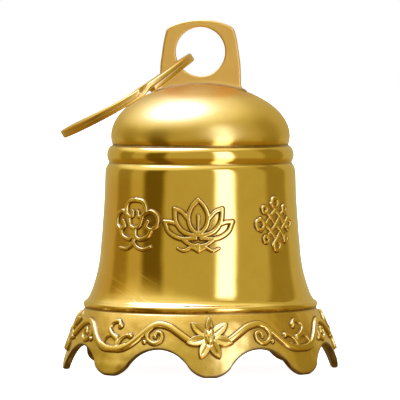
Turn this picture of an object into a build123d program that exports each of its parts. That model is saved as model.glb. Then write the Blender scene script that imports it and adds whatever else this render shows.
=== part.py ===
from build123d import *
import os
from math import cos, radians, sin, sqrt

# Cast brass bell with a lobed rim, a lug with a split ring, and a hung clapper.
# Millimetres. The axis is Z, the rim's lobes stand on z = 0, the front faces -Y.

# ---- body of revolution: radius and height along the outside ----
MOUTH_R = 31.78          # rim, at the lobe tips
WALL = 1.6               # wall thickness, measured level
CROWN_Z = 65.5           # top of the dome
DOME_A, DOME_B, DOME_Z = 20.6, 12.0, 53.5      # dome's half axes and centre height
GROOVE_R, GROOVE_Z = 20.36, 51.6               # groove under the dome
BEAD_R, BEAD_Z = 21.4, 49.4                    # rounded band around the shoulder
NECK_R, NECK_Z = 21.25, 47.6                   # groove under the band
RIDGE_Z = 14.0                                 # underside of the ridge above the skirt

# ---- lobed rim ----
LOBES = 8
LOBE_PHASE = 4.0         # the lobes sit this far round from the lug's face
SCALLOP_H = 6.1          # height of the arches between lobes
LOBE_R, ARCH_R = 6.36, 9.5
REST_FLAT = 0.12         # depth filed off each lobe tip

# ---- relief ----
RELIEF = 0.55            # height of the raised ornament
STROKE = 1.0
MEDAL_Z = 33.9           # centre height of the ornaments round the waist
LOTUS_AT, KNOT_AT, CLOUD_AT = -1.2, 49.0, -41.0   # how far round from the front each one sits
FLOWER_Z = 8.8
VINE_W = 1.25

# ---- lug and ring ----
LUG_T = 2.5
LUG_TOP = 80.3
HOLE_R, HOLE_Z = 5.67, 72.96
RING_R, RING_IN = 17.5, 14.3
RING_T = 2.0
RING_OFF = 19.62         # from the hole's axis to the ring's centre
RING_SLOPE = 31.0

# ---- clapper ----
STAPLE_X, STAPLE_Z, STAPLE_R, STAPLE_WIRE = 3.0, 59.3, 3.0, 1.0
LINK_R, LINK_WIRE = 2.9, 0.7
EYE_R, EYE_WIRE = 2.5, 0.8
PLAY = 0.06
ROD_R = 1.1
BALL_R, BALL_Z = 5.2, 15.5
LINK_Z = STAPLE_Z + STAPLE_WIRE + PLAY - (LINK_R - LINK_WIRE)
PIVOT_Z = LINK_Z - LINK_R
EYE_Z = PIVOT_Z + LINK_WIRE + PLAY + EYE_WIRE - EYE_R

os.makedirs("parts", exist_ok=True)


def save(name, shape):
    """Write one node: its one solid, without the slivers a cut may leave."""
    out = max(shape.solids(), key=lambda solid: solid.volume)
    out.label = name
    export_step(out, os.path.join("parts", name + ".step"))
    print(name, len(shape.solids()), round(out.volume, 1))


def turned(shape, lobe):
    """A front-facing shape, turned to a lobe (or, with a half, to an arch)."""
    return Rot(0, 0, LOBE_PHASE + lobe * 360 / LOBES) * shape


# ---------------------------------------------------------------- the shell
def dome_arc(a, b):
    """Quarter of the dome's ellipse, from its rim to its top."""
    points = [(a * cos(radians(t)), DOME_Z + b * sin(radians(t))) for t in range(0, 91, 10)]
    return Spline(*points, tangents=((0, 1), (-1, 0)))


def outer_face():
    """Half section of everything inside the bell's outer surface."""
    skirt = Spline((MOUTH_R + 0.05, -0.3), (30.4, 5.64), (29.0, 9.3), (27.35, 13.0),
                   (26.95, RIDGE_Z))
    ledge = Line((26.95, RIDGE_Z), (27.0, RIDGE_Z + 0.15))
    ridge = ThreePointArc((27.0, RIDGE_Z + 0.15), (26.85, 15.0), (26.1, 15.8))
    waist = Spline((26.1, 15.8), (24.9, 18.5), (23.6, 23.1), (22.9, 28.7), (22.45, 34.2),
                   (22.1, 39.7), (21.9, 45.0), (21.7, 46.6))
    neck = ThreePointArc((21.7, 46.6), (21.5, 47.2), (NECK_R, NECK_Z))
    bead = ThreePointArc((NECK_R, NECK_Z), (BEAD_R + 0.1, BEAD_Z), (20.95, 51.2))
    groove = Polyline((20.95, 51.2), (GROOVE_R, GROOVE_Z), (DOME_A, DOME_Z))
    dome = dome_arc(DOME_A, DOME_B)
    close = Polyline((0, CROWN_Z), (0, -0.3), (MOUTH_R + 0.05, -0.3))
    return make_face([skirt, ledge, ridge, waist, neck, bead, groove, dome, close])


def inner_face():
    """Half section of the hollow."""
    side = Spline((MOUTH_R - WALL + 0.2, -0.8), (30.4 - WALL, 5.64), (29.0 - WALL, 9.3),
                  (27.3 - WALL, 13.0), (24.9 - WALL, 18.5), (23.6 - WALL, 23.1),
                  (22.9 - WALL, 28.7), (22.45 - WALL, 34.2), (22.1 - WALL, 39.7),
                  (20.3, 45.0), (DOME_A - WALL, 51.5), (DOME_A - WALL, DOME_Z))
    dome = dome_arc(DOME_A - WALL, DOME_B - WALL)
    close = Polyline((0, CROWN_Z - WALL), (0, -0.8), (MOUTH_R - WALL + 0.2, -0.8))
    return make_face([side, dome, close])


def lathe(face, out=0.0, up=0.0):
    """Turn a half section round Z, after shifting it outwards and up."""
    return revolve(Plane.XZ * Pos(out, up) * face, Axis.Z)


OUTER = lathe(outer_face())
HOLLOW = lathe(inner_face())


def scallop():
    """Cutter for one arch: tangent arcs, from lobe tip to lobe tip."""
    half = MOUTH_R * sin(radians(180 / LOBES))
    rise = SCALLOP_H + REST_FLAT
    lobe = (half, LOBE_R - REST_FLAT)
    arch = (0, SCALLOP_H - ARCH_R)
    gap = sqrt(half ** 2 + (lobe[1] - arch[1]) ** 2)
    t = ARCH_R / gap
    join = (half * t, arch[1] + (lobe[1] - arch[1]) * t)
    low = (half, -REST_FLAT)
    mid = (lobe[0] - LOBE_R * sin(radians(26)), lobe[1] - LOBE_R * cos(radians(26)))
    right = ThreePointArc(low, mid, join)
    top = ThreePointArc(join, (0, SCALLOP_H), (-join[0], join[1]))
    left = ThreePointArc((-join[0], join[1]), (-mid[0], mid[1]), (-low[0], low[1]))
    close = Polyline((-low[0], low[1]), (-low[0], -rise), (low[0], -rise), low)
    face = make_face([right, top, left, close])
    return Pos(0, -15, 0) * extrude(Plane.XZ * face, 25)


def bell_shell():
    shell = OUTER - HOLLOW
    cutter = scallop()
    for k in range(LOBES):
        shell -= turned(cutter, k + 0.5)
    return shell - Pos(0, 0, -5) * Box(80, 80, 10)


# ---------------------------------------------------------------- the lug
def mirrored(points):
    return [(-x, y) for x, y in points]


def lug_outline():
    foot = Polyline((9.3, 67), (9.3, 52), (-9.3, 52), (-9.3, 67))
    side = [(9.3, 67), (9.2, 70), (8.9, 72.3), (8.47, 75.2), (7.97, 77.4)]
    right = Spline(*side, tangents=((0, 1), (-0.3, 1)))
    left = Spline(*mirrored(side), tangents=((0, 1), (0.3, 1)))
    corner_r = ThreePointArc((7.97, 77.4), (7.55, 78.25), (6.6, 78.95))
    corner_l = ThreePointArc((-7.97, 77.4), (-7.55, 78.25), (-6.6, 78.95))
    crown = ThreePointArc((6.6, 78.95), (0, LUG_TOP), (-6.6, 78.95))
    return make_face([foot, right, left, corner_r, corner_l, crown])


def hanging_lug():
    """Plate with rounded edges and a round hole, standing on the dome."""
    plate = Pos(0, LUG_T / 2, 0) * extrude(Plane.XZ * lug_outline(), LUG_T)
    plate -= Pos(0, 0, HOLE_Z) * Rot(90, 0, 0) * Cylinder(HOLE_R, 3 * LUG_T)
    rims = [e for e in plate.edges() if abs(abs(e.center().Y) - LUG_T / 2) < 0.01]
    plate = fillet([e for e in rims if e.center().Z > 55], 0.4)
    return plate - OUTER


# ---------------------------------------------------------------- relief
def layer(height, skirt):
    """Everything within `height` of the outer surface, and inside it."""
    if skirt:
        return lathe(outer_face(), height * 0.92, height * 0.39)
    return lathe(outer_face(), height, 0)


def raised(sketch, height, skirt):
    """A flat drawing, raised from the bell's surface at the front."""
    block = Pos(0, -12, 0) * extrude(Plane.XZ * sketch, 25)
    return (block & layer(height, skirt)) - OUTER


def stroke(points, width=STROKE):
    """Band of even width with round ends along a smooth line."""
    line = Spline(*points)
    count = 3 * len(points)
    left, right = [], []
    for n in range(count + 1):
        at, along = line @ (n / count), line % (n / count)
        side = Vector(-along.Y, along.X) * (width / 2)
        left.append(at + side)
        right.append(at - side)
    cap = ThreePointArc(right[-1], line @ 1 + (line % 1) * (width / 2), left[-1])
    tail = ThreePointArc(left[0], line @ 0 - (line % 0) * (width / 2), right[0])
    return Sketch() + make_face([Spline(*right), cap, Spline(*reversed(left)), tail])


def pair(points, width=STROKE):
    return stroke(points, width) + stroke(mirrored(points), width)


def disc(x, y, r):
    return Pos(x, y) * Circle(r)


def lotus():
    """Open lotus over a ripple of water."""
    s = pair([(0, -2.2), (1.7, -0.4), (2.2, 2.0), (1.4, 4.2), (0, 5.8)])
    s += pair([(0.6, -2.4), (3.4, -1.4), (5.0, 0.8), (5.3, 3.7)])
    s += pair([(5.3, 3.7), (3.7, 3.0), (2.3, 1.4)])
    s += pair([(0.6, -2.9), (4.2, -2.9), (6.6, -1.5), (7.6, 0.8)])
    s += pair([(7.6, 0.8), (6.2, 0.7), (5.0, 0.3)])
    s += stroke([(-3.4, -3.2), (-1.8, -4.3), (0, -4.6), (1.8, -4.3), (3.4, -3.2)])
    s += pair([(0, -5.7), (1.6, -5.0), (3.2, -5.7), (4.6, -5.2)], 0.9)
    s += Pos(0, -5.0) * Rectangle(1.0, 1.6)
    s += Pos(0, 0.9) * Ellipse(0.55, 1.5)
    return s + Pos(0, -1.2) * Rectangle(0.7, 2.6)


def cloud():
    """Curled cloud head with a trailing tail."""
    s = pair([(0, 5.6), (2.0, 5.2), (2.9, 3.6), (2.2, 2.0), (0.9, 1.9), (0.7, 3.0)])
    s += pair([(2.2, 2.1), (4.2, 3.0), (5.9, 1.9), (6.0, 0.0), (4.6, -1.1), (3.2, -0.4), (3.7, 0.8)])
    s += pair([(0, -0.9), (1.4, -0.2), (2.2, 2.1)])
    s += pair([(4.6, -1.2), (3.6, -2.7), (1.5, -3.3), (0, -2.4)])
    s += stroke([(0, -1.0), (0.1, -2.6), (-0.5, -4.4), (-2.2, -5.5), (-4.4, -5.4)])
    return s + stroke([(-0.2, -3.9), (1.0, -5.1), (2.8, -5.6), (4.6, -5.0)])


def knot():
    """Endless knot: a woven lozenge with looped corners."""
    s = Sketch()
    for k in range(-1, 2):
        for turn in (45, -45):
            bar = Rot(0, 0, turn) * Pos(0, k * 2.35) * Rectangle(8.4, 0.95)
            s = s + bar if s.faces() else Sketch() + bar
    ring = Circle(1.55) - Circle(0.62)
    for x, y in ((0, 4.85), (0, -4.85), (4.85, 0), (-4.85, 0)):
        s += Pos(x, y) * ring
    for x in (-3.35, 3.35):
        for y in (-3.35, 3.35):
            s += Pos(x, y) * (Circle(1.15) - Circle(0.35))
    return s


def leaf(length, width):
    """Pointed petal outline, from the origin along +X."""
    up = ThreePointArc((0, 0), (length * 0.52, width / 2), (length, 0))
    down = ThreePointArc((0, 0), (length * 0.52, -width / 2), (length, 0))
    return make_face([up, down])


def flower():
    """Seven pointed petals with raised rims round an upright seed."""
    plate = Sketch()
    sunk = Sketch()
    for k in range(7):
        turn = 90 + k * 360 / 7
        reach = 4.7 + 0.8 * abs(cos(radians(turn)))
        spin = Rot(0, 0, turn)
        plate = plate + spin * leaf(reach, 2.7)
        sunk = sunk + spin * Pos(1.15, 0) * leaf(reach - 2.1, 1.6)
    seed = Pos(0, 0.2) * Ellipse(0.55, 1.25)
    at = Pos(0, FLOWER_Z)
    floor = raised(at * plate, 0.25, True)
    rims = raised(at * (plate - sunk + seed), 0.6, True)
    return floor + rims


def vine_half():
    """Wave, curl and bud between a flower (left) and the next lobe, at an arch's middle."""
    wave = stroke([(-6.1, 8.7), (-4.2, 10.1), (-2.0, 11.5), (0.3, 12.1), (2.4, 11.6),
                   (4.5, 10.1), (6.4, 8.1), (8.1, 6.5), (9.75, 5.75)], VINE_W)
    curl = stroke([(2.7, 10.9), (3.05, 9.6), (2.4, 8.1), (0.9, 7.55), (-0.45, 8.4),
                   (-0.35, 9.9), (0.8, 10.1), (1.1, 9.2)], 0.75)
    return wave + curl + disc(3.3, 8.0, 0.5)


def trefoil():
    """Trough of the vine with three curls, which open towards the flower on the left."""
    foot = stroke([(-2.16, 5.7), (-1.0, 5.62), (0, 5.6), (1.0, 5.62), (2.16, 5.7)], VINE_W)
    s = foot + stroke([(-1.7, 5.9), (-1.45, 7.2), (-1.1, 8.3), (-0.3, 9.0)], 0.85)
    s += stroke([(-1.5, 7.0), (-2.3, 8.6), (-3.5, 9.2), (-4.6, 8.8)], 0.75)
    s += disc(-4.7, 8.7, 0.55)
    s += stroke([(-0.9, 8.5), (0.5, 9.3), (2.0, 8.7), (2.6, 7.4), (2.1, 6.0)], 0.8)
    s += stroke([(-0.4, 8.8), (1.1, 9.8), (1.3, 11.0), (0.2, 11.9), (-1.0, 11.4), (-1.1, 10.6)], 0.8)
    return s + disc(-1.05, 10.55, 0.52)


# ---------------------------------------------------------------- ring and clapper
def split_ring():
    """Flat two-coil ring, rounded, with the slit between its coils."""
    width = RING_R - RING_IN
    section = RectangleRounded(width, RING_T, 0.45)
    section -= Pos(width / 2, 0) * Rectangle(1.2, 0.12)
    section -= Pos(-width / 2, 0) * Rectangle(1.2, 0.12)
    ring = revolve(Plane.XZ * Pos(RING_IN + width / 2, 0) * section, Axis.Z)
    a = radians(RING_SLOPE)
    centre = (-RING_OFF * cos(a), 0, HOLE_Z - RING_OFF * sin(a))
    return Pos(*centre) * Rot(0, -RING_SLOPE, 0) * ring


def wire_ring(r, wire):
    """Closed wire ring in the XZ plane."""
    return Rot(90, 0, 0) * Torus(r, wire)


def clapper_staple():
    """U of wire cast into the crown, open side up."""
    top = STAPLE_Z + STAPLE_R
    path = Line((-STAPLE_X, CROWN_Z), (-STAPLE_X, top))
    bend = ThreePointArc((-STAPLE_X, top), (0, STAPLE_Z), (STAPLE_X, top))
    up = Line((STAPLE_X, top), (STAPLE_X, CROWN_Z))
    line = Plane.XZ * Wire([path, bend, up])
    staple = sweep(Plane(line @ 0, z_dir=(0, 0, -1)) * Circle(STAPLE_WIRE), line)
    return staple & HOLLOW


def clapper_link():
    return Pos(0, 0, LINK_Z) * Rot(0, 0, 90) * wire_ring(LINK_R, LINK_WIRE)


def clapper_rod():
    eye = Pos(0, 0, EYE_Z) * wire_ring(EYE_R, EYE_WIRE)
    top = EYE_Z - EYE_R
    end = BALL_Z - BALL_R - 0.9
    rod = Pos(0, 0, (top + end) / 2) * Cylinder(ROD_R, top - end)
    return eye + rod


def clapper_ball():
    ball = Pos(0, 0, BALL_Z) * Sphere(BALL_R)
    return ball - Pos(0, 0, BALL_Z) * Cylinder(ROD_R, 3 * BALL_R)


def clapper_rivet():
    """Domed burr under the ball, round the rod's end."""
    low = BALL_Z - BALL_R - 1.1
    cap = Pos(0, 0, low + 1.1) * Sphere(2.0)
    cap -= Pos(0, 0, BALL_Z) * Sphere(BALL_R)
    cap -= Pos(0, 0, BALL_Z) * Cylinder(ROD_R, 3 * BALL_R)
    cap -= Pos(0, 0, low - 2.5) * Box(6, 6, 5)
    return max(cap.solids(), key=lambda s: s.volume)


save("bell_shell", bell_shell())
save("hanging_lug", hanging_lug())
save("clapper_staple", clapper_staple())
save("split_ring", split_ring())
save("clapper_link", clapper_link())
save("clapper_rod", clapper_rod())
save("clapper_ball", clapper_ball())
save("clapper_rivet", clapper_rivet())

for name, sketch, at in (("lotus_medallion", lotus(), LOTUS_AT),
                         ("knot_medallion", knot(), KNOT_AT),
                         ("cloud_medallion", cloud(), CLOUD_AT)):
    relief = raised(Pos(0, MEDAL_Z) * sketch, RELIEF, False)
    for n in range(2):
        save(f"{name}_{n + 1}", Rot(0, 0, at + 180 * n) * relief)

HALF_STEP = 180 / LOBES
blossom = flower()
curls = raised(trefoil(), RELIEF, True)
vine = raised(vine_half(), RELIEF, True)
near_vine = vine - Rot(0, 0, HALF_STEP) * curls
far_vine = mirror(vine, Plane.YZ) - Rot(0, 0, -HALF_STEP) * curls
for n in range(4):
    parts = [(near_vine, 0.5), (far_vine, 1.5)]
    knot_of_curls = curls
    if n % 2:
        parts = [(mirror(far_vine, Plane.YZ), 0.5), (mirror(near_vine, Plane.YZ), 1.5)]
        knot_of_curls = mirror(curls, Plane.YZ)
    save(f"skirt_flower_{n + 1}", turned(blossom, 2 * n))
    save(f"skirt_trefoil_{n + 1}", turned(knot_of_curls, 2 * n + 1))
    for half, (piece, lobe) in enumerate(parts):
        save(f"vine_scroll_{2 * n + half + 1}", turned(piece, 2 * n + lobe))
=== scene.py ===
import bpy
import math
import numpy as np
from mathutils import Matrix, Vector


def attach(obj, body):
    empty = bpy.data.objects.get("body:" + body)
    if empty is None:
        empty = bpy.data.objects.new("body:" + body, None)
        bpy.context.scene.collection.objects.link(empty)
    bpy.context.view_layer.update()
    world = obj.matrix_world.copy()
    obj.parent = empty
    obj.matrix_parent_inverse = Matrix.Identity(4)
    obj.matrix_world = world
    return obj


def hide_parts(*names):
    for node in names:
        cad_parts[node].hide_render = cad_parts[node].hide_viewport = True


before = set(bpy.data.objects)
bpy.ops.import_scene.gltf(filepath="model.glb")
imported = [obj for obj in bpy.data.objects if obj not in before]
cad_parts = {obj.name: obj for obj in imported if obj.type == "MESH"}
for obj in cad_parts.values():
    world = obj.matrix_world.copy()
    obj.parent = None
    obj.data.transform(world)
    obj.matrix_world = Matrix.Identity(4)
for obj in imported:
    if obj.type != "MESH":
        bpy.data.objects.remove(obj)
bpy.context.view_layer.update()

MM = 0.001
LOBES = 8
LOBE_PHASE = math.radians(4)
RELIEF_H = 0.62
BOLD = 1.12           # the waist ornaments' strands against their drawn width


# ---------------------------------------------------------------- small tools
def smooth_line(points, per=10, closed=False):
    """Catmull-Rom line through the points, as an array."""
    p = np.array(points, float)
    if closed:
        p = np.vstack([p[-1], p, p[0], p[1]])
    else:
        p = np.vstack([2 * p[0] - p[1], p, 2 * p[-1] - p[-2]])
    t = np.linspace(0, 1, per, endpoint=False)[:, None]
    out = []
    for a, b, c, d in zip(p[:-3], p[1:-2], p[2:-1], p[3:]):
        out.append(0.5 * (2 * b + (c - a) * t + (2 * a - 5 * b + 4 * c - d) * t ** 2
                          + (3 * b - a - 3 * c + d) * t ** 3))
    line = np.vstack(out)
    return line if closed else np.vstack([line, p[-2]])


def mesh_piece(name, verts, faces, material, smooth=True):
    """A new object from points in millimetres."""
    mesh = bpy.data.meshes.new(name)
    mesh.from_pydata((np.asarray(verts) * MM).tolist(), [], faces)
    mesh.validate()
    mesh.polygons.foreach_set("use_smooth", [smooth] * len(mesh.polygons))
    mesh.materials.append(material)
    piece = bpy.data.objects.new(name, mesh)
    bpy.context.scene.collection.objects.link(piece)
    return piece


def grid_faces(rows, cols, wrap_rows=False, wrap_cols=False):
    """Quads of a grid whose points are stored row by row."""
    faces = []
    for i in range(rows if wrap_rows else rows - 1):
        for j in range(cols if wrap_cols else cols - 1):
            i2, j2 = (i + 1) % rows, (j + 1) % cols
            faces.append((i * cols + j, i * cols + j2, i2 * cols + j2, i2 * cols + j))
    return faces


# ---------------------------------------------------------------- materials
class Nodes:
    """Short hand for wiring a material's nodes."""

    def __init__(self, name):
        self.mat = bpy.data.materials.new(name)
        self.mat.use_nodes = True
        self.tree = self.mat.node_tree
        self.shader = self.tree.nodes["Principled BSDF"]
        self.coord = self.tree.nodes.new("ShaderNodeTexCoord").outputs["Object"]

    def link(self, a, b):
        self.tree.links.new(a, b)

    def put(self, socket, value):
        if isinstance(value, bpy.types.NodeSocket):
            self.link(value, socket)
        else:
            socket.default_value = value

    def math(self, op, a, b=0.0, c=0.0, clamp=False):
        n = self.tree.nodes.new("ShaderNodeMath")
        n.operation = op
        n.use_clamp = clamp
        for socket, value in zip(n.inputs, (a, b, c)):
            self.put(socket, value)
        return n.outputs[0]

    def noise(self, scale, detail=3.0, rough=0.5, vector=None, stretch=None):
        n = self.tree.nodes.new("ShaderNodeTexNoise")
        n.inputs["Scale"].default_value = scale
        n.inputs["Detail"].default_value = detail
        n.inputs["Roughness"].default_value = rough
        source = vector or self.coord
        if stretch:
            m = self.tree.nodes.new("ShaderNodeMapping")
            m.inputs["Scale"].default_value = stretch
            self.link(source, m.inputs["Vector"])
            source = m.outputs[0]
        self.link(source, n.inputs["Vector"])
        return n.outputs["Fac"]

    def ramp(self, fac, stops):
        n = self.tree.nodes.new("ShaderNodeValToRGB")
        self.put(n.inputs[0], fac)
        while len(n.color_ramp.elements) < len(stops):
            n.color_ramp.elements.new(0.5)
        for element, (at, color) in zip(n.color_ramp.elements, stops):
            element.position = at
            element.color = (color, color, color, 1) if isinstance(color, float) else (*color, 1)
        return n.outputs[0]

    def mix(self, fac, a, b):
        n = self.tree.nodes.new("ShaderNodeMix")
        n.data_type = "RGBA"
        self.put(n.inputs[0], fac)
        for socket, value in ((n.inputs[6], a), (n.inputs[7], b)):
            self.put(socket, value if isinstance(value, bpy.types.NodeSocket) else (*value, 1))
        return n.outputs[2]

    def painted(self, name):
        n = self.tree.nodes.new("ShaderNodeAttribute")
        n.attribute_name = name
        return n.outputs["Fac"]

    def corner_shade(self, distance, low, high):
        """Painted shade: 1 in corners narrower than the distance, 0 in the open."""
        n = self.tree.nodes.new("ShaderNodeAmbientOcclusion")
        n.inputs["Distance"].default_value = distance
        n.samples = 12
        m = self.tree.nodes.new("ShaderNodeMapRange")
        self.link(n.outputs["AO"], m.inputs[0])
        m.inputs[1].default_value = low
        m.inputs[2].default_value = high
        m.inputs[3].default_value = 1.0
        m.inputs[4].default_value = 0.0
        return m.outputs[0]

    def bump(self, height, strength, distance, under=None):
        n = self.tree.nodes.new("ShaderNodeBump")
        n.inputs["Strength"].default_value = strength
        n.inputs["Distance"].default_value = distance
        self.link(height, n.inputs["Height"])
        if under:
            self.link(under, n.inputs["Normal"])
        return n.outputs[0]

    def slanted(self, slope, scale):
        """Coordinate that is even along lines which fall to the right across the bell's front."""
        xyz = self.tree.nodes.new("ShaderNodeSeparateXYZ")
        self.link(self.coord, xyz.inputs[0])
        across = self.math("MULTIPLY_ADD", xyz.outputs[0], slope, xyz.outputs[2])
        join = self.tree.nodes.new("ShaderNodeCombineXYZ")
        self.link(self.math("MULTIPLY", across, scale), join.inputs[0])
        return join.outputs[0]

    def wound(self, around, up):
        """Coordinates that run round the bell's axis and up it."""
        xyz = self.tree.nodes.new("ShaderNodeSeparateXYZ")
        self.link(self.coord, xyz.inputs[0])
        angle = self.math("ARCTAN2", xyz.outputs[0], xyz.outputs[1])
        join = self.tree.nodes.new("ShaderNodeCombineXYZ")
        self.link(self.math("MULTIPLY", self.math("SINE", angle), around), join.inputs[0])
        self.link(self.math("MULTIPLY", self.math("COSINE", angle), around), join.inputs[1])
        self.link(self.math("MULTIPLY", xyz.outputs[2], up), join.inputs[2])
        return join.outputs[0]


GOLD = (0.85, 0.58, 0.105)
PALE_GOLD = (0.88, 0.62, 0.18)
AMBER = (0.62, 0.33, 0.045)
TARNISH_AND_SHADE = (0.085, 0.030, 0.005)


def polished_brass(name, gold=GOLD, rough=0.13, corner_shade_mm=0.9, shade_tarnish_depth=0.9, lines=0.10,
                   uneven=0.10, edge=False):
    """Hand-polished cast brass: painted shade in the recesses, partly brown tarnish there, faint turning
    lines, soft waviness.
    """
    m = Nodes(name)
    cloudy = m.noise(90, 4, 0.6)
    blotch = m.ramp(m.noise(210, 5, 0.65), [(0.42, 0.0), (0.70, 1.0)])
    base = m.mix(cloudy, gold, tuple(0.6 * g + 0.4 * p for g, p in zip(gold, PALE_GOLD)))
    base = m.mix(m.math("MULTIPLY", blotch, 0.16), base, AMBER)
    # Painted shade: ambient occlusion darkens near and wide corners and recesses, partly standing for brown
    # tarnish there.
    near = m.corner_shade(corner_shade_mm * MM, 0.35, 0.90)
    wide = m.corner_shade(2.6 * MM, 0.25, 0.80)
    faint_corner_shade = m.math("MULTIPLY", wide, 0.30 * shade_tarnish_depth)
    shade_and_tarnish_mask = m.math("ADD", m.math("MULTIPLY", near, shade_tarnish_depth), faint_corner_shade, clamp=True)
    if edge:
        # Painted shade and reflection from the painted attribute: grooves, rim lip, inside of the bell, feet
        # of ornaments and lug; partly tarnish and raw cast skin.
        shade_and_tarnish_mask = m.math("MAXIMUM", shade_and_tarnish_mask, m.painted("painted_shade_and_tarnish"))
        # Painted reflection: vertical amber streaks where the painted attribute asks for them; partly
        # tarnish on the skirt.
        reflection_streaks = m.ramp(m.noise(1.0, 3, 0.6, vector=m.wound(420, 25)), [(0.35, 0.35), (0.62, 1.0)])
        base = m.mix(m.math("MULTIPLY", m.painted("amber_reflection_and_tarnish"), reflection_streaks), base, (0.80, 0.40, 0.035))
    shade_and_tarnish_mask = m.math("MULTIPLY", shade_and_tarnish_mask, m.ramp(m.noise(500, 3, 0.6), [(0.25, 0.78), (0.6, 1.0)]), clamp=True)
    # Painted shade and tarnish: the mask lays dark brown over the colour.
    base = m.mix(shade_and_tarnish_mask, base, TARNISH_AND_SHADE)
    m.link(base, m.shader.inputs["Base Color"])
    m.shader.inputs["Metallic"].default_value = 1.0
    dull = m.math("MULTIPLY_ADD", shade_and_tarnish_mask, 0.35, rough)
    if edge:
        dull = m.math("MULTIPLY_ADD", m.painted("satin"), 0.24, dull)
    dull = m.math("MULTIPLY_ADD", m.noise(260, 4, 0.6), uneven, dull)
    m.link(m.math("MULTIPLY_ADD", blotch, 0.03, dull), m.shader.inputs["Roughness"])
    wavy = m.bump(m.noise(75, 2, 0.4), 0.10, 1.2 * MM)
    if edge:
        cast = m.math("MULTIPLY", m.noise(150, 2, 0.5), m.painted("cast"))
        wavy = m.bump(cast, 0.45, 0.7 * MM, wavy)
        shade_and_wear = m.ramp(m.noise(300, 2, 0.5), [(0.42, 0.0), (0.55, 1.0)])
        fine = m.noise(1.0, 2, 0.6, vector=m.slanted(0.6, 2400))
        scratch = m.math("MULTIPLY", m.ramp(fine, [(0.56, 0.0), (0.66, 1.0)]), shade_and_wear)
        wavy = m.bump(m.math("MULTIPLY", scratch, m.painted("scratched")), 0.35, 0.05 * MM, wavy)
    lined = m.noise(1.0, 4, 0.65, vector=m.wound(0.9, 2600))
    turned = m.bump(lined, lines, 0.06 * MM, wavy)
    pits = m.ramp(m.noise(1500, 2, 0.5), [(0.72, 1.0), (0.78, 0.0)])
    m.link(m.bump(pits, 0.12, 0.05 * MM, turned), m.shader.inputs["Normal"])
    return m.mat


BRASS = polished_brass("cast_brass", rough=0.07, lines=0.07, uneven=0.04, edge=True)
RELIEF_BRASS = polished_brass("relief_brass", rough=0.12, corner_shade_mm=0.6, shade_tarnish_depth=0.8, edge=True)
LUG_BRASS = polished_brass("lug_brass", gold=(0.86, 0.53, 0.095), rough=0.36, lines=0.03, edge=True)
RING_BRASS = polished_brass("ring_metal", gold=(0.84, 0.52, 0.085), rough=0.28, corner_shade_mm=0.3, shade_tarnish_depth=0.8)
CLAPPER_BRASS = polished_brass("clapper_brass", gold=(0.62, 0.38, 0.10), rough=0.34, shade_tarnish_depth=1.0, lines=0.2)
STAPLE_BRASS = polished_brass("staple_brass", gold=(0.50, 0.31, 0.08), rough=0.42, shade_tarnish_depth=1.0, lines=0.0)
WIRE_BRASS = polished_brass("link_wire", gold=(0.55, 0.38, 0.14), rough=0.30, corner_shade_mm=0.5)


# ---------------------------------------------------------------- the bell's outer line
def outer_line():
    skirt = smooth_line([(31.78, 0.0), (31.58, 1.96), (31.0, 3.8), (30.4, 5.64), (29.7, 7.5), (29.0, 9.3),
                         (28.2, 11.2), (27.4, 12.9), (26.95, 13.7)], 6)
    step = smooth_line([(26.95, 13.7), (26.72, 13.98), (26.68, 14.2), (26.82, 14.5), (27.0, 14.85),
                        (26.98, 15.2), (26.72, 15.62), (26.2, 16.0), (25.85, 16.4)], 4)
    waist = smooth_line([(25.85, 16.4), (25.5, 17.05), (24.9, 18.5), (24.2, 20.7), (23.6, 23.1),
                         (23.15, 25.9), (22.9, 28.7), (22.65, 31.4), (22.45, 34.2), (22.25, 37.0),
                         (22.1, 39.7), (22.0, 42.5), (21.92, 45.0), (21.78, 46.1), (21.5, 46.8),
                         (21.2, 47.25)], 6)
    bead = smooth_line([(21.2, 47.25), (21.05, 47.55), (21.15, 47.85), (21.38, 48.4), (21.5, 49.2),
                        (21.4, 50.0), (21.15, 50.7), (20.75, 51.2), (20.42, 51.4)], 5)
    groove = smooth_line([(20.42, 51.4), (20.25, 51.6), (20.35, 51.95), (20.5, 52.5), (20.58, 53.1)], 4)
    turn = np.linspace(0, math.pi / 2, 46)
    dome = np.stack([20.6 * np.cos(turn), 53.5 + 12.0 * np.sin(turn)], 1)
    parts = [skirt[:-1], step[:-1], waist[:-1], bead[:-1], groove[:-1], dome]
    return np.vstack(parts)


OUTER = outer_line()
BELOW_DOME = OUTER[:-44]
# Painted dark line along each groove: painted shade and reflection, partly dirt in the groove.
SHADED_GROOVES = ((14.25, 0.34, 0.75), (47.5, 0.22, 0.55), (51.62, 0.30, 0.80))   # height, half width, darkness


def radius_at(z):
    return np.interp(z, BELOW_DOME[:, 1], BELOW_DOME[:, 0])


def lean_at(z):
    """Outward normal of the outer line at a height."""
    slope = (radius_at(z + 0.6) - radius_at(z - 0.6)) / 1.2
    length = np.sqrt(1 + slope ** 2)
    return 1 / length, -slope / length


# ---------------------------------------------------------------- shell
def rim_height(angle):
    """Height of the lobed rim: tangent arcs, low at the lobes."""
    period = 2 * math.pi / LOBES
    s = ((angle - LOBE_PHASE + period / 2) % period - period / 2)
    x = np.abs(s) * 31.8
    half = math.pi * 31.8 / LOBES
    lobe_r, arch_r, top = 6.36, 9.5, 6.1
    lobe_c, arch_c = lobe_r - 0.12, top - arch_r
    gap = math.hypot(half, lobe_c - arch_c)
    join = half * lobe_r / gap
    low = lobe_c - np.sqrt(np.maximum(lobe_r ** 2 - np.minimum(x, join) ** 2, 0))
    high = arch_c + np.sqrt(np.maximum(arch_r ** 2 - np.minimum(half - x, half - join) ** 2, 0))
    return np.maximum(np.where(x < join, low, high), 0.0)


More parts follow.
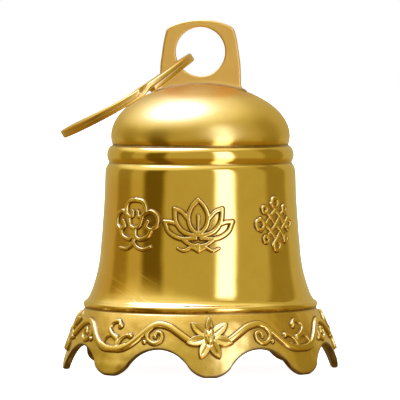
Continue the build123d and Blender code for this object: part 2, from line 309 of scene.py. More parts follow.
def bell_shell():
    cols = 432
    angle = np.linspace(0, 2 * math.pi, cols, endpoint=False)
    rim = rim_height(angle)
    lip = 0.42
    blend = 12.5
    rows, shade_tarnish_rows, satin, amber_reflection_and_tarnish, cast, scratched = [], [], [], [], [], []
    side = (angle + math.pi) % (2 * math.pi) - math.pi
    # Mask on the bell's left side for the painted amber reflection stripes on the waist.
    left = np.exp(-((side + 1.0) / 0.42) ** 2)
    rubbed = np.exp(-((side + 0.78) / 0.38) ** 2)

    def ring(radius, height, shade_and_wear, dull=0.3, reflection_and_tarnish_share=0.0, rough=0.0):
        rows.append(np.stack([radius * np.sin(angle), -radius * np.cos(angle), height], 1))
        shade_tarnish_rows.append(np.broadcast_to(shade_and_wear, (cols,)))
        satin.append(np.full(cols, dull))
        amber_reflection_and_tarnish.append(np.broadcast_to(reflection_and_tarnish_share, (cols,)))
        cast.append(np.full(cols, rough))
        scratched.append(rubbed * smooth_share(height, 14.5, 16.5) * smooth_share(-height, -29.0, -22.0))

    wall = 1.5
    start = rim + lip
    inner_top = np.linspace(1, 0, 40)
    # Inside of the crown and wall, darkened: raw cast skin and painted shade.
    for t in np.linspace(math.pi / 2, 0, 14, endpoint=False):
        ring(np.full(cols, 19.0 * math.cos(t)), np.full(cols, 53.5 + 10.5 * math.sin(t)), 0.9)
    for u in inner_top:
        z = start + (53.5 - start) * u
        flat = np.where(z < 46, radius_at(z) - wall, np.interp(z, [46, 50, 53.5], [20.35, 19.3, 19.0]))
        ring(flat, z, 0.9)
    # Lip under the rim, darkened: painted shade and reflection, partly dark patina.
    for a in np.linspace(0, math.pi, 9)[1:-1]:
        mid = radius_at(start) - wall / 2
        z = start - lip * math.sin(a) ** 0.7
        ring(mid - wall / 2 * math.cos(a), np.maximum(z, 0.0), 0.9)
    for r, z0 in OUTER:
        if z0 < blend:
            z = start + (blend - start) * (z0 / blend)
            # Near the rim, painted shade and reflection fading up from the lip, partly dark patina; amber on
            # the skirt is partly tarnish and partly painted reflection.
            reflection_and_tarnish_share = 0.34 * smooth_share(z, 6.5, 10.0)
            ring(radius_at(z), z, 0.9 * np.exp(-(z - start) / 0.20), 0.6, reflection_and_tarnish_share, 1.0)
        elif r > 0.01:
            # Painted dark lines along the grooves, and darker towards the dome's top.
            shade_and_wear = max(deep * math.exp(-((z0 - at) / half) ** 2) for at, half, deep in SHADED_GROOVES)
            top = 0.12 * smooth_share(z0, 62.2, 64.2)
            low = smooth_share(-z0, -16.0, -13.0)
            # Amber: partly tarnish and partly painted reflection on the skirt, painted reflection stripes at
            # the left of the waist, painted reflection of the lug on the dome's top.
            reflection_and_tarnish_share = 0.34 * low + 0.75 * left * smooth_share(z0, 15.0, 20.0) * smooth_share(-z0, -46.0, -42.0)
            reflection_and_tarnish_share = reflection_and_tarnish_share + 0.92 * smooth_share(z0, 62.0, 63.6)
            dull = 0.6 * low + smooth_share(z0, 51.8, 54.5)
            ring(np.full(cols, r), np.full(cols, z0), max(shade_and_wear, top), dull, reflection_and_tarnish_share, low)
    count = len(rows)
    verts = np.vstack(rows)
    faces = grid_faces(count, cols, wrap_cols=True)
    faces = [f[::-1] for f in faces]
    top, low = len(verts), len(verts) + 1
    verts = np.vstack([verts, [[0, 0, 65.5], [0, 0, 64.0]]])
    last = (count - 1) * cols
    faces += [(last + j, top, last + (j + 1) % cols) for j in range(cols)]
    faces += [(j, (j + 1) % cols, low) for j in range(cols)]
    piece = mesh_piece("shell_cast", verts, faces, BRASS)
    for name, values, ends in (("painted_shade_and_tarnish", shade_tarnish_rows, [0.3, 0.9]), ("satin", satin, [1.0, 0.3]),
                               ("amber_reflection_and_tarnish", amber_reflection_and_tarnish, [0.8, 0.0]), ("cast", cast, [0.0, 0.0]),
                               ("scratched", scratched, [0.0, 0.0])):
        layer = piece.data.attributes.new(name, "FLOAT", "POINT")
        layer.data.foreach_set("value", np.concatenate(values + [ends]).astype(np.float32))
    return piece


# ---------------------------------------------------------------- relief
def plateau(inside, flat=0.5):
    """Cross-section of a strand: 1 on its back, falling steeply to 0 at its edge and below outside."""
    rise = np.sin(math.pi / 2 * np.clip(inside / flat, 0, 1))
    crown = 0.12 * np.clip(inside, 0, 1)
    return np.where(inside > 0, 0.88 * rise + crown, inside * 1.5)


def stroke_height(u, v, points, width, height=RELIEF_H, taper=(1.0, 1.0), per=10):
    """Height of a rounded strand along a smooth line; it falls below zero outside."""
    line = smooth_line(points, per)
    share = np.linspace(0, 1, len(line))
    ends = taper[0] + (taper[1] - taper[0]) * share
    half = width / 2 * ends
    best = np.full(u.shape, -9.0)
    for (x, y), w, e in zip(line, half, ends):
        inside = 1 - np.hypot(u - x, v - y) / w
        best = np.maximum(best, plateau(inside) * height * (0.65 + 0.35 * e))
    return best


def ball_height(u, v, x, y, r, height=RELIEF_H):
    inside = 1 - np.hypot(u - x, v - y) / r
    h = np.where(inside > 0, np.sin(math.pi / 2 * np.clip(inside * 1.15, 0, 1)), inside * 1.5)
    return h * height


def both(points):
    return [points, [(-x, y) for x, y in points]]


def soft_max(layers, width=0.05):
    """Union of heights with a small fillet where strands meet."""
    stack = np.stack(layers)
    top = stack.max(0)
    return top + width * np.log(np.exp((stack - top) / width).sum(0)) * (top > -0.2)


def bold(u, v, points, width, **rest):
    return stroke_height(u, v, points, width * BOLD, **rest)


def lotus_height(u, v):
    strands = []
    for p in both([(0, -2.2), (1.7, -0.4), (2.2, 2.0), (1.4, 4.2), (0, 5.8)]):
        strands.append(bold(u, v, p, 1.0))
    for p in both([(0.6, -2.4), (3.4, -1.4), (5.0, 0.8), (5.3, 3.7)]):
        strands.append(bold(u, v, p, 1.05))
    for p in both([(5.3, 3.7), (3.7, 3.0), (2.3, 1.4)]):
        strands.append(bold(u, v, p, 0.95))
    for p in both([(0.6, -2.9), (4.2, -2.9), (6.6, -1.5), (7.6, 0.8)]):
        strands.append(bold(u, v, p, 1.0))
    for p in both([(7.6, 0.8), (6.2, 0.7), (5.0, 0.3)]):
        strands.append(bold(u, v, p, 0.9))
    strands.append(bold(u, v, [(-3.4, -3.2), (-1.8, -4.3), (0, -4.6), (1.8, -4.3), (3.4, -3.2)], 1.0))
    for p in both([(0, -5.7), (1.6, -5.0), (3.2, -5.7), (4.6, -5.2)]):
        strands.append(bold(u, v, p, 0.9, taper=(1.0, 0.7)))
    strands.append(bold(u, v, [(0, -4.4), (0, -5.6)], 1.0))
    strands.append(bold(u, v, [(0, -2.2), (0, 0.3), (0, 2.1)], 0.85, taper=(0.7, 1.0)))
    return soft_max(strands)


def cloud_height(u, v):
    strands = []
    for p in both([(0, 5.6), (2.0, 5.2), (2.9, 3.6), (2.2, 2.0), (0.9, 1.9), (0.7, 3.0)]):
        strands.append(bold(u, v, p, 1.0, taper=(1, 0.85)))
    for p in both([(2.2, 2.1), (4.2, 3.0), (5.9, 1.9), (6.0, 0.0), (4.6, -1.1), (3.2, -0.4), (3.7, 0.8)]):
        strands.append(bold(u, v, p, 1.0, taper=(1, 0.85)))
    for p in both([(0, -0.9), (1.4, -0.2), (2.2, 2.1)]):
        strands.append(bold(u, v, p, 0.95))
    for p in both([(4.6, -1.2), (3.6, -2.7), (1.5, -3.3), (0, -2.4)]):
        strands.append(bold(u, v, p, 0.95))
    strands.append(bold(u, v, [(0, -1.0), (0.1, -2.6), (-0.5, -4.4), (-2.2, -5.5), (-4.4, -5.4)], 1.0,
                        taper=(1, 0.7)))
    strands.append(bold(u, v, [(-0.2, -3.9), (1.0, -5.1), (2.8, -5.6), (4.6, -5.0)], 1.0, taper=(1, 0.7)))
    return soft_max(strands)


def ring_points(x, y, r):
    turn = np.linspace(0, 2 * math.pi, 13)
    return [(x + r * math.cos(t), y + r * math.sin(t)) for t in turn]


def knot_height(u, v):
    """Woven lozenge; each strand dips where it passes under another."""
    strands = []
    c = math.sqrt(0.5)
    for way in (1, -1):
        for k in (-1, 0, 1):
            off = k * 2.35
            mid = np.array([-way * c * off, c * off])
            along = np.array([c, way * c])
            a, b = mid - 4.2 * along, mid + 4.2 * along
            h = bold(u, v, [a, mid, b], 0.95)
            run = (u - mid[0]) * along[0] + (v - mid[1]) * along[1]
            weave = 0.5 + 0.5 * np.cos(math.pi * (run / 2.35 + k + (0 if way > 0 else 1)))
            strands.append(np.where(h > 0, h * (0.62 + 0.38 * weave), h))
    for x, y in ((0, 4.85), (0, -4.85), (4.85, 0), (-4.85, 0)):
        strands.append(bold(u, v, ring_points(x, y, 1.08), 0.93))
    for x in (-3.35, 3.35):
        for y in (-3.35, 3.35):
            strands.append(bold(u, v, ring_points(x, y, 0.75), 0.8))
    return soft_max(strands, 0.03)


def leaf_height(u, v, turn, reach, width):
    """A pointed petal folded along its middle, with raised edges."""
    ca, sa = math.cos(turn), math.sin(turn)
    x, y = u * ca + v * sa, -u * sa + v * ca
    bow = (reach ** 2 / 4 + width ** 2 / 4) / width
    drop = bow - width / 2
    edge = bow - np.maximum(np.hypot(x - reach / 2, y + drop), np.hypot(x - reach / 2, y - drop))
    rim = np.sin(math.pi / 2 * np.clip(edge / 0.24, 0, 1))
    fold = np.clip((edge - 0.22) / (width / 2 - 0.22), 0, 1) * np.clip((x - 0.5) / 0.8, 0, 1)
    crease = np.exp(-(y / 0.13) ** 2) * np.clip((x - 1.2) / 0.6, 0, 1)
    crease = crease * np.clip((reach - 0.9 - x) / 0.6, 0, 1)
    blade = rim * (0.78 - 0.30 * fold - 0.16 * crease)
    return np.where(edge > 0, blade, edge * 2.2)


def flower_height(u, v):
    petals = []
    for k in range(7):
        turn = math.pi / 2 + k * 2 * math.pi / 7
        reach = 4.75 + 0.75 * abs(math.cos(turn))
        petals.append(leaf_height(u, v, turn, reach, 2.45 if k else 1.75))
    star = np.stack(petals).max(0)
    seed_in = 1 - np.hypot(u / 0.62, (v - 0.25) / 1.45)
    seed = np.where(seed_in > 0, 0.95 * np.sqrt(np.clip(seed_in * (2 - seed_in), 0, 1)), seed_in)
    ring = 1 - np.abs(np.hypot(u / 0.95, (v - 0.2) / 1.75) - 1) / 0.28
    groove = np.clip(ring, 0, 1) * 0.30
    return np.maximum(star - groove, seed)


def vine_height(u, v):
    wave = [(-6.9, 8.3), (-6.1, 8.75), (-4.3, 9.95), (-2.2, 11.2), (0.2, 11.75), (2.1, 11.15), (3.7, 9.9),
            (5.3, 8.5), (7.0, 7.2), (8.6, 6.4), (9.9, 6.12), (10.8, 6.1)]
    strands = [stroke_height(u, v, wave, 1.5, 0.74)]
    curl = [(2.0, 10.9), (2.9, 9.7), (2.6, 8.3), (1.1, 7.5), (-0.45, 8.1), (-0.6, 9.5), (0.45, 10.0),
            (1.0, 9.2)]
    strands.append(stroke_height(u, v, curl, 0.98, 0.64, taper=(1.1, 0.85)))
    strands.append(ball_height(u, v, 0.95, 9.05, 0.55, 0.62))
    strands.append(ball_height(u, v, 3.45, 7.85, 0.58, 0.62))
    strands.append(stroke_height(u, v, [(3.45, 7.85), (2.6, 8.3)], 0.6, 0.45))
    return soft_max(strands)


def trefoil_height(u, v):
    """Trough of the vine with a stem and three hooks that end in buds."""
    trough = [(-3.4, 6.78), (-2.2, 6.35), (-1.1, 6.14), (0, 6.08), (1.1, 6.14), (2.2, 6.35), (3.4, 6.78)]
    strands = [stroke_height(u, v, trough, 1.5, 0.74)]
    strands.append(stroke_height(u, v, [(-1.15, 6.3), (-0.95, 7.5), (-0.6, 8.6)], 1.25, 0.66))
    over = [(-0.7, 8.3), (0.9, 9.2), (2.1, 10.3), (2.0, 11.4), (0.95, 12.1), (-0.2, 12.1), (-0.8, 11.5)]
    strands.append(stroke_height(u, v, over, 1.15, 0.68, taper=(1.1, 0.85)))
    strands.append(ball_height(u, v, -0.8, 11.2, 0.78, 0.74))
    strands.append(stroke_height(u, v, [(-0.5, 8.6), (1.0, 9.15), (2.5, 8.7), (3.4, 7.5)], 1.05, 0.62,
                                 taper=(1, 0.6)))
    strands.append(stroke_height(u, v, [(-1.2, 7.0), (-1.9, 8.35), (-3.1, 9.05), (-4.1, 9.1)], 0.98, 0.62,
                                 taper=(1, 0.85)))
    strands.append(ball_height(u, v, -4.15, 9.1, 0.70, 0.68))
    return soft_max(strands)


FOOT = 0.09           # softness of the fillet where the ornament meets the wall
FOOT_END = -0.36      # the drawing's value at which the fillet has died out


def relief_pattern(height, box, rise=0.0, step=0.08):
    """Points, faces and painted shade of an ornament at the front of the bell.

    It is drawn in the plane that touches the bell there, then laid on the surface."""
    u = np.arange(box[0], box[1] + step, step)
    v = np.arange(box[2], box[3] + step, step)
    uu, vv = np.meshgrid(u, v)
    h = height(uu, vv)
    keep = h > FOOT_END
    cell = keep[:-1, :-1] | keep[1:, :-1] | keep[:-1, 1:] | keep[1:, 1:]
    i, j = np.nonzero(cell)
    n = len(u)
    a = i * n + j
    quads = np.stack([a, a + 1, a + n + 1, a + n], 1)
    used, inverse = np.unique(quads, return_inverse=True)
    h, x, z = h.ravel()[used], uu.ravel()[used], vv.ravel()[used] + rise
    reach = radius_at(z)
    nr, nz = lean_at(z)
    deep = np.clip(h, FOOT_END - 0.1, None)
    lift = np.where(h > 0.4, h, FOOT * np.log1p(np.exp(np.minimum(deep, 0.4) / FOOT))) - 0.004
    phi = np.arcsin(np.clip(x / reach, -1, 1))
    points = np.stack([phi, reach + lift * nr, z + lift * nz], 1)
    # Painted shade round the foot of each strand, fading out on its back; partly tarnish in the corner.
    shade_and_wear = smooth_share(h, FOOT_END + 0.02, -0.16) * (1 - smooth_share(h, 0.10, 0.36))
    return points, inverse.reshape(quads.shape), 0.92 * shade_and_wear


def smooth_share(value, low, high):
    t = np.clip((value - low) / (high - low), 0, 1)
    return t * t * (3 - 2 * t)


def at_lobe(lobe):
    return LOBE_PHASE + lobe * 2 * math.pi / LOBES


def relief_piece(name, pattern, turn, flip=False):
    """An ornament turned round the axis, mirrored if it faces the other way."""
    points, quads, shade_and_wear = pattern
    phi = (-points[:, 0] if flip else points[:, 0]) + turn
    verts = np.stack([points[:, 1] * np.sin(phi), -points[:, 1] * np.cos(phi), points[:, 2]], 1)
    faces = quads[:, ::-1] if flip else quads
    piece = mesh_piece(name, verts, faces.tolist(), RELIEF_BRASS)
    layer = piece.data.attributes.new("painted_shade_and_tarnish", "FLOAT", "POINT")
    layer.data.foreach_set("value", shade_and_wear.astype(np.float32))
    return piece


# ---------------------------------------------------------------- lug
HOLE_R, HOLE_Z, LUG_T = 5.67, 72.96, 2.5
FLARE, FACE_FLARE = 1.2, 0.42      # the foot's fillet at the plate's edges, and its share on the faces


def dome_z(x, y=0.0):
    return 53.5 + 12.0 * np.sqrt(np.maximum(1 - (x ** 2 + y ** 2) / 20.6 ** 2, 0))


def lug_outline():
    """Half widths up the plate, then the arched top: a closed loop round the hole."""
    right = smooth_line([(9.55, 63.2), (9.32, 65.0), (9.3, 67.0), (9.2, 70.0), (8.9, 72.3), (8.47, 75.2),
                         (7.97, 77.4), (7.75, 78.0), (7.3, 78.55), (6.6, 78.98), (5.0, 79.58), (2.6, 80.12),
                         (0, 80.3)], 8)
    left = right[::-1][1:] * [-1, 1]
    foot_x = np.linspace(-9.55, 9.55, 40)[1:-1]
    foot = np.stack([foot_x, dome_z(foot_x) - 0.9], 1)
    return np.vstack([right, left, foot])


def hanging_lug():
    """The plate, as rings of points from its hole to its edge, front and back, with a flared foot."""
    loop = lug_outline()
    turn = np.arctan2(loop[:, 1] - HOLE_Z, loop[:, 0])
    reach = np.hypot(loop[:, 0], loop[:, 1] - HOLE_Z)
    order = np.argsort(turn)
    cols = 288
    theta = np.linspace(-math.pi, math.pi, cols, endpoint=False)
    outer = np.interp(theta, turn[order], reach[order], period=2 * math.pi)
    half, soft, bore_soft = LUG_T / 2, 0.45, 0.34
    quarter = np.linspace(0, math.pi / 2, 7)
    section = [(HOLE_R, 0.0)]
    section += [(HOLE_R + bore_soft * (1 - math.cos(a)), half - bore_soft * (1 - math.sin(a)))
                for a in quarter]
    section += [(HOLE_R + bore_soft + (outer - soft - HOLE_R - bore_soft) * share, half)
                for share in np.linspace(0, 1, 26)[1:-1]]
    section += [(outer - soft * (1 - math.sin(a)), half - soft * (1 - math.cos(a))) for a in quarter]
    section += [(outer, 0.0)]
    section += [(radius, -thick) for radius, thick in section[::-1][1:-1]]
    rows, shade_tarnish_rows = [], []
    for radius, thick in section:
        x = radius * np.cos(theta)
        z = HOLE_Z + radius * np.sin(theta)
        near = np.clip(1 - (z - dome_z(x)) / FLARE, 0, 1)
        # Painted shade along the foot, where the plate meets the dome.
        shade_tarnish_rows.append(0.60 * smooth_share(near, 0.50, 0.90))
        grow = FLARE * (1 - np.sqrt(np.maximum(1 - near ** 2, 0)))
        y = thick + np.sign(thick) * grow * FACE_FLARE
        x = x + np.where(np.abs(x) > 8.2, np.sign(x) * grow, 0.0)
        rows.append(np.stack([x, -y, z], 1))
    faces = grid_faces(len(rows), cols, wrap_rows=True, wrap_cols=True)
    piece = mesh_piece("lug_cast", np.vstack(rows), faces, LUG_BRASS)
    layer = piece.data.attributes.new("painted_shade_and_tarnish", "FLOAT", "POINT")
    layer.data.foreach_set("value", np.concatenate(shade_tarnish_rows).astype(np.float32))
    return piece


# ---------------------------------------------------------------- split ring
RING_OFF, RING_SLOPE = 19.62, math.radians(31)
RING_MID, WIRE_HALF_W, WIRE_HALF_T = 15.9, 1.6, 0.494
RING_LEAN, RING_SAG = math.radians(0.25), 0.95      # worn out of flat by use


def rounded_section(half_w, half_t, upper, lower, per=6):
    """Points round a flat wire whose upper and lower edges are rounded by different radii."""
    points = []
    for k, (cx, cy) in enumerate(((1, 1), (-1, 1), (-1, -1), (1, -1))):
        corner = upper if cy > 0 else lower
        for a in np.linspace(0, math.pi / 2, per):
            b = a + k * math.pi / 2
            points.append((cx * (half_w - corner) + corner * math.cos(b),
                           cy * (half_t - corner) + corner * math.sin(b)))
    return np.array(points)


def split_ring():
    """Flat wire of two turns, whose ends sit either side of the ramp between them.

    The first end springs a little away from the other turn."""
    ramp = math.radians(9)
    turns = 4 * math.pi - ramp
    count = 560
    s = np.linspace(0, turns, count)
    t = np.clip((s - (2 * math.pi - ramp)) / ramp, 0, 1)
    level = -0.5 + t * t * (3 - 2 * t)
    level = level - 0.34 * np.exp(-(s / 0.32) ** 2)
    angle = math.radians(291) + s
    ends = np.minimum(s, turns - s) / math.radians(2.0)
    shrink = 1 - 0.22 * (1 - np.clip(ends, 0, 1)) ** 2
    rows = []
    for a, rise, tight, up in zip(angle, level, shrink, t):
        section = rounded_section(WIRE_HALF_W, WIRE_HALF_T, 0.10 + 0.32 * up, 0.42 - 0.32 * up)
        r = RING_MID + section[:, 0] * tight
        h = rise + section[:, 1] * tight - RING_SAG * math.sin(a) ** 2
        x, y = r * math.cos(a), r * math.sin(a)
        lean_c, lean_s = math.cos(RING_LEAN), math.sin(RING_LEAN)
        y, h = y * lean_c - h * lean_s, y * lean_s + h * lean_c
        rows.append(np.stack([x, y, h], 1))
    n = len(rows[0])
    verts = np.vstack(rows)
    faces = grid_faces(count, n, wrap_cols=True)
    faces.append(tuple(range(n - 1, -1, -1)))
    faces.append(tuple((count - 1) * n + k for k in range(n)))
    c, sn = math.cos(RING_SLOPE), math.sin(RING_SLOPE)
    x, y, z = verts.T
    turned = np.stack([x * c - z * sn, y, x * sn + z * c], 1)
    turned += [-RING_OFF * c, 0, HOLE_Z - RING_OFF * sn]
    piece = mesh_piece("ring_coil", turned, faces, RING_BRASS)
    piece.visible_glossy = False
    return piece


# ---------------------------------------------------------------- clapper
def lathe_piece(name, line, material, cols=96):
    """Turn a line of radius and height round the bell's axis."""
    angle = np.linspace(0, 2 * math.pi, cols, endpoint=False)
    rows = [np.stack([r * np.sin(angle), -r * np.cos(angle), np.full(cols, z)], 1) for r, z in line]
    faces = [f[::-1] for f in grid_faces(len(rows), cols, wrap_cols=True)]
    return mesh_piece(name, np.vstack(rows), faces, material)


def tube(name, path, radius, across, material, closed=False, around=28):
    """Round wire along a flat path; `across` is square to the path's plane."""
    path = np.asarray(path, float)
    if closed:
        along = np.roll(path, -1, 0) - np.roll(path, 1, 0)
    else:
        along = np.gradient(path, axis=0)
    along /= np.linalg.norm(along, axis=1)[:, None]
    across = np.asarray(across, float)
    side = np.cross(across, along)
    radius = np.broadcast_to(radius, (len(path),))
    turn = np.linspace(0, 2 * math.pi, around, endpoint=False)
    rows = [p + r * (np.outer(np.cos(turn), sd) + np.outer(np.sin(turn), across))
            for p, r, sd in zip(path, radius, side)]
    faces = grid_faces(len(rows), around, wrap_rows=closed, wrap_cols=True)
    if not closed:
        faces.append(tuple(range(around - 1, -1, -1)))
        faces.append(tuple((len(rows) - 1) * around + k for k in range(around)))
    return mesh_piece(name, np.vstack(rows), faces, material)


STAPLE_X, STAPLE_Z, STAPLE_WIRE = 3.0, 59.3, 1.0
LINK_R, LINK_WIRE, LINK_Z = 2.9, 0.7, 58.16
EYE_R, EYE_WIRE, EYE_Z = 2.5, 0.8, 54.32
ROD_R, ROD_LOW = 1.1, 9.4
BALL_R, BALL_Z = 5.2, 15.5


def clapper_staple():
    """U of wire, thicker where it grows out of the crown."""
    turn = np.linspace(0, math.pi, 40)
    bend = [(-STAPLE_X * math.cos(a), 0, STAPLE_Z + STAPLE_X * (1 - math.sin(a))) for a in turn]
    rise = np.linspace(STAPLE_Z + STAPLE_X, 64.2, 14)[1:]
    path = [(-STAPLE_X, 0, z) for z in rise[::-1]] + bend + [(STAPLE_X, 0, z) for z in rise]
    height = np.array(path)[:, 2]
    radius = STAPLE_WIRE + 0.5 * np.clip((height - 62.6) / 1.4, 0, 1) ** 2
    return tube("staple_wire", path, radius, (0, 1, 0), STAPLE_BRASS)


def clapper_link():
    """Closed ring of wire with the small swelling of its brazed joint."""
    turn = np.linspace(0, 2 * math.pi, 96, endpoint=False)
    path = [(0, LINK_R * math.sin(a), LINK_Z + LINK_R * math.cos(a)) for a in turn]
    radius = LINK_WIRE + 0.09 * np.exp(-((turn - 1.7) / 0.09) ** 2)
    return tube("link_ring", path, radius, (1, 0, 0), WIRE_BRASS, closed=True)


def clapper_rod():
    """Rod with its end bent round to an eye and closed against its own side."""
    gap = 0.10
    turn = np.linspace(-math.pi / 2 + gap, 1.5 * math.pi - gap, 90)
    eye = [(EYE_R * math.cos(a), 0, EYE_Z + EYE_R * math.sin(a)) for a in turn]
    loop = tube("rod_eye", eye, EYE_WIRE, (0, 1, 0), CLAPPER_BRASS)
    top = EYE_Z - EYE_R
    line = [(0.0, top + 0.55), (0.55, top + 0.5), (0.95, top + 0.25), (1.15, top - 0.3), (ROD_R, top - 1.2),
            (1.04, top - 6.0), (1.08, 34.0), (1.04, 24.0), (ROD_R, 20.8), (ROD_R, ROD_LOW + 0.5),
            (0.8, ROD_LOW), (0.0, ROD_LOW)]
    stem = lathe_piece("rod_stem", smooth_line(line, 6)[::-1], CLAPPER_BRASS, cols=32)
    return loop, stem


def clapper_ball():
    """Cast ball with a parting line, dished round the rod."""
    line = [(1.1, 10.6), (1.25, 10.42)]
    for a in np.linspace(-74, 74, 60):
        r = BALL_R + 0.07 * math.exp(-(a / 2.2) ** 2)
        line.append((r * math.cos(math.radians(a)), BALL_Z + r * math.sin(math.radians(a))))
    line += [(1.25, 20.58), (1.1, 20.4)]
    return lathe_piece("ball_cast", smooth_line(line, 2), CLAPPER_BRASS)


def clapper_rivet():
    """The rod's end, peened to a dome under the ball."""
    line = [(0.0, 9.12), (0.5, 9.16), (1.0, 9.3), (1.45, 9.62), (1.75, 10.05), (1.85, 10.45), (1.7, 10.6)]
    return lathe_piece("rivet_head", smooth_line(line, 6), CLAPPER_BRASS, cols=48)


# ---------------------------------------------------------------- put together
def place(piece, body, slot, *nodes):
    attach(piece, body)
    if nodes:
        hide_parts(*nodes)


place(bell_shell(), "bell", "cast_brass", "bell_shell")
place(hanging_lug(), "bell", "cast_brass", "hanging_lug")
place(split_ring(), "ring", "ring_metal", "split_ring")
place(clapper_staple(), "bell", "cast_brass", "clapper_staple")
place(clapper_link(), "link", "link_wire", "clapper_link")
place(clapper_ball(), "clapper", "clapper_brass", "clapper_ball")
place(clapper_rivet(), "clapper", "clapper_brass", "clapper_rivet")
for piece in clapper_rod():
    place(piece, "clapper", "clapper_brass", "clapper_rod")

MEDAL_Z, FLOWER_Z = 33.9, 8.8
for kind, height, wide, degrees in (("lotus", lotus_height, 8.6, -1.2), ("knot", knot_height, 7.0, 49),
                                    ("cloud", cloud_height, 7.0, -41)):
    pattern = relief_pattern(height, (-wide, wide, -6.8, 6.8), MEDAL_Z)
    for n in range(2):
        piece = relief_piece(f"{kind}_relief_{n + 1}", pattern, math.radians(degrees) + n * math.pi)
        place(piece, "bell", "cast_brass", f"{kind}_medallion_{n + 1}")

FLOWER = relief_pattern(flower_height, (-6.4, 6.4, -5.6, 5.4), FLOWER_Z)
CURLS = relief_pattern(trefoil_height, (-5.6, 4.6, 5.0, 13.0))
VINE = relief_pattern(vine_height, (-8.2, 11.6, 5.0, 12.9))
for n in range(4):
    flower = relief_piece(f"flower_relief_{n + 1}", FLOWER, at_lobe(2 * n))
    place(flower, "bell", "cast_brass", f"skirt_flower_{n + 1}")
    curls = relief_piece(f"curls_relief_{n + 1}", CURLS, at_lobe(2 * n + 1), flip=bool(n % 2))
    place(curls, "bell", "cast_brass", f"skirt_trefoil_{n + 1}")
    for side in (0, 1):
        number = 2 * n + side + 1
        vine = relief_piece(f"vine_relief_{number}", VINE, at_lobe(2 * n + 0.5 + side), flip=bool(side))
        place(vine, "bell", "cast_brass", f"vine_scroll_{number}")


# ---------------------------------------------------------------- floor, light and camera
def floor():
    """Pale paper, bright enough to meet the white behind it; polished metal mirrors the room instead."""
    m = Nodes("floor_paper")
    tint = m.mix(m.noise(6, 2, 0.5), (0.93, 0.93, 0.925), (0.96, 0.96, 0.955))
    m.link(tint, m.shader.inputs["Base Color"])
    m.shader.inputs["Roughness"].default_value = 0.7
    m.shader.inputs["Specular IOR Level"].default_value = 0.2
    m.shader.inputs["Emission Color"].default_value = (1, 1, 1, 1)
    m.shader.inputs["Emission Strength"].default_value = 0.94
    m.link(m.bump(m.noise(900, 3, 0.6), 0.05, 0.05 * MM), m.shader.inputs["Normal"])
    size = 4000.0
    piece = mesh_piece("floor", [(-size, -size, 0), (size, -size, 0), (size, size, 0), (-size, size, 0)],
                       [(0, 1, 2, 3)], m.mat)
    piece.visible_glossy = False


CARD_EDGE = 9.0       # degrees over which a card fades out
CARDS = ((30, 7, 2.2), (-58, 9, 0.16), (-105, 8, 0.34), (105, 14, 0.34))   # azimuth, half width, level


class Sky:
    """The world's nodes: levels of light by azimuth (0 in front, + to the right) and elevation."""

    def __init__(self):
        world = bpy.data.worlds.new("studio")
        bpy.context.scene.world = world
        world.use_nodes = True
        self.tree = world.node_tree
        coord = self.new("ShaderNodeTexCoord").outputs["Generated"]
        self.xyz = self.new("ShaderNodeSeparateXYZ")
        self.link(coord, self.xyz.inputs[0])
        front = self.math("MULTIPLY", self.xyz.outputs[1], -1.0)
        azimuth = self.math("ARCTAN2", self.xyz.outputs[0], front)
        self.azimuth = self.math("MULTIPLY", azimuth, 180 / math.pi)
        self.elevation = self.math("MULTIPLY", self.math("ARCSINE", self.xyz.outputs[2]), 180 / math.pi)

    def new(self, kind):
        return self.tree.nodes.new(kind)

    def link(self, a, b):
        self.tree.links.new(a, b)

    def math(self, op, a, b=0.0, c=0.0):
        n = self.new("ShaderNodeMath")
        n.operation = op
        for socket, value in zip(n.inputs, (a, b, c)):
            if isinstance(value, bpy.types.NodeSocket):
                self.link(value, socket)
            else:
                socket.default_value = value
        return n.outputs[0]

    def card(self, level, azimuth, half_width, value):
        """An upright card with soft edges, standing in the room some degrees round from the front."""
        off = self.math("ABSOLUTE", self.math("SUBTRACT", self.azimuth, azimuth))
        return self.blend(self.rise(off, half_width, half_width + CARD_EDGE), value, level)

    def rise(self, source, low, high):
        n = self.new("ShaderNodeMapRange")
        n.interpolation_type = "SMOOTHSTEP"
        self.link(source, n.inputs[0])
        n.inputs[1].default_value = low
        n.inputs[2].default_value = high
        return n.outputs[0]

    def blend(self, fac, a, b):
        n = self.new("ShaderNodeMix")
        n.data_type = "FLOAT"
        for socket, value in ((n.inputs[0], fac), (n.inputs[2], a), (n.inputs[3], b)):
            if isinstance(value, bpy.types.NodeSocket):
                self.link(value, socket)
            else:
                socket.default_value = value
        return n.outputs[0]


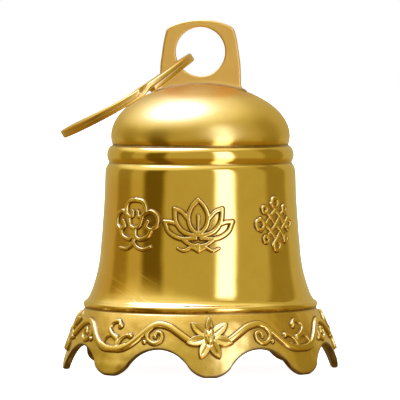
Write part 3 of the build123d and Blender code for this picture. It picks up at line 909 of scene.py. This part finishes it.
def studio():
    """A plain room with a bright card at the right, three dark ones and a softbox overhead."""
    sky = Sky()
    level = sky.blend(sky.rise(sky.elevation, -22, -5), 0.38, 0.55)
    for azimuth, half_width, value in CARDS:
        level = sky.card(level, azimuth, half_width, value)
    level = sky.blend(sky.rise(sky.elevation, 37, 46), level, 0.60)
    level = sky.blend(sky.rise(sky.elevation, 50, 64), level, 0.86)
    aim = Vector((-0.30, 0.06, 0.95)).normalized()
    dot = sky.new("ShaderNodeVectorMath")
    dot.operation = "DOT_PRODUCT"
    sky.link(sky.xyz.inputs[0].links[0].from_socket, dot.inputs[0])
    dot.inputs[1].default_value = aim
    spot = dot.outputs["Value"]
    level = sky.blend(sky.rise(spot, math.cos(math.radians(58)), math.cos(math.radians(34))), level, 1.15)
    level = sky.blend(sky.rise(spot, math.cos(math.radians(29)), math.cos(math.radians(14))), level, 3.6)
    warm = sky.rise(sky.elevation, -22, -4)
    color = sky.new("ShaderNodeCombineColor")
    sky.link(level, color.inputs[0])
    green = sky.math("POWER", level, 1.2)
    blue = sky.math("POWER", level, 2.3)
    sky.link(sky.math("MULTIPLY", green, sky.blend(warm, 0.80, 1.0)), color.inputs[1])
    sky.link(sky.math("MULTIPLY", blue, sky.blend(warm, 0.45, 1.0)), color.inputs[2])
    room = sky.tree.nodes["Background"]
    sky.link(color.outputs[0], room.inputs["Color"])
    plain = sky.new("ShaderNodeBackground")
    plain.inputs["Color"].default_value = (1, 1, 1, 1)
    path = sky.new("ShaderNodeLightPath")
    join = sky.new("ShaderNodeMixShader")
    sky.link(path.outputs["Is Glossy Ray"], join.inputs[0])
    sky.link(plain.outputs[0], join.inputs[1])
    sky.link(room.outputs[0], join.inputs[2])
    sky.link(join.outputs[0], sky.tree.nodes["World Output"].inputs["Surface"])


def camera():
    data = bpy.data.cameras.new("view")
    data.sensor_width = 36
    data.lens = 423
    data.clip_start = 0.01
    data.clip_end = 50
    eye = bpy.data.objects.new("view", data)
    at, aim = Vector((-0.0001, -1.082, 0.0803)), Vector((-0.0001, 0, 0.0388))
    eye.location = at
    eye.rotation_euler = (aim - at).to_track_quat("-Z", "Y").to_euler()
    bpy.context.scene.collection.objects.link(eye)
    bpy.context.scene.camera = eye


floor()
studio()
camera()
bpy.context.scene.view_settings.view_transform = "Standard"
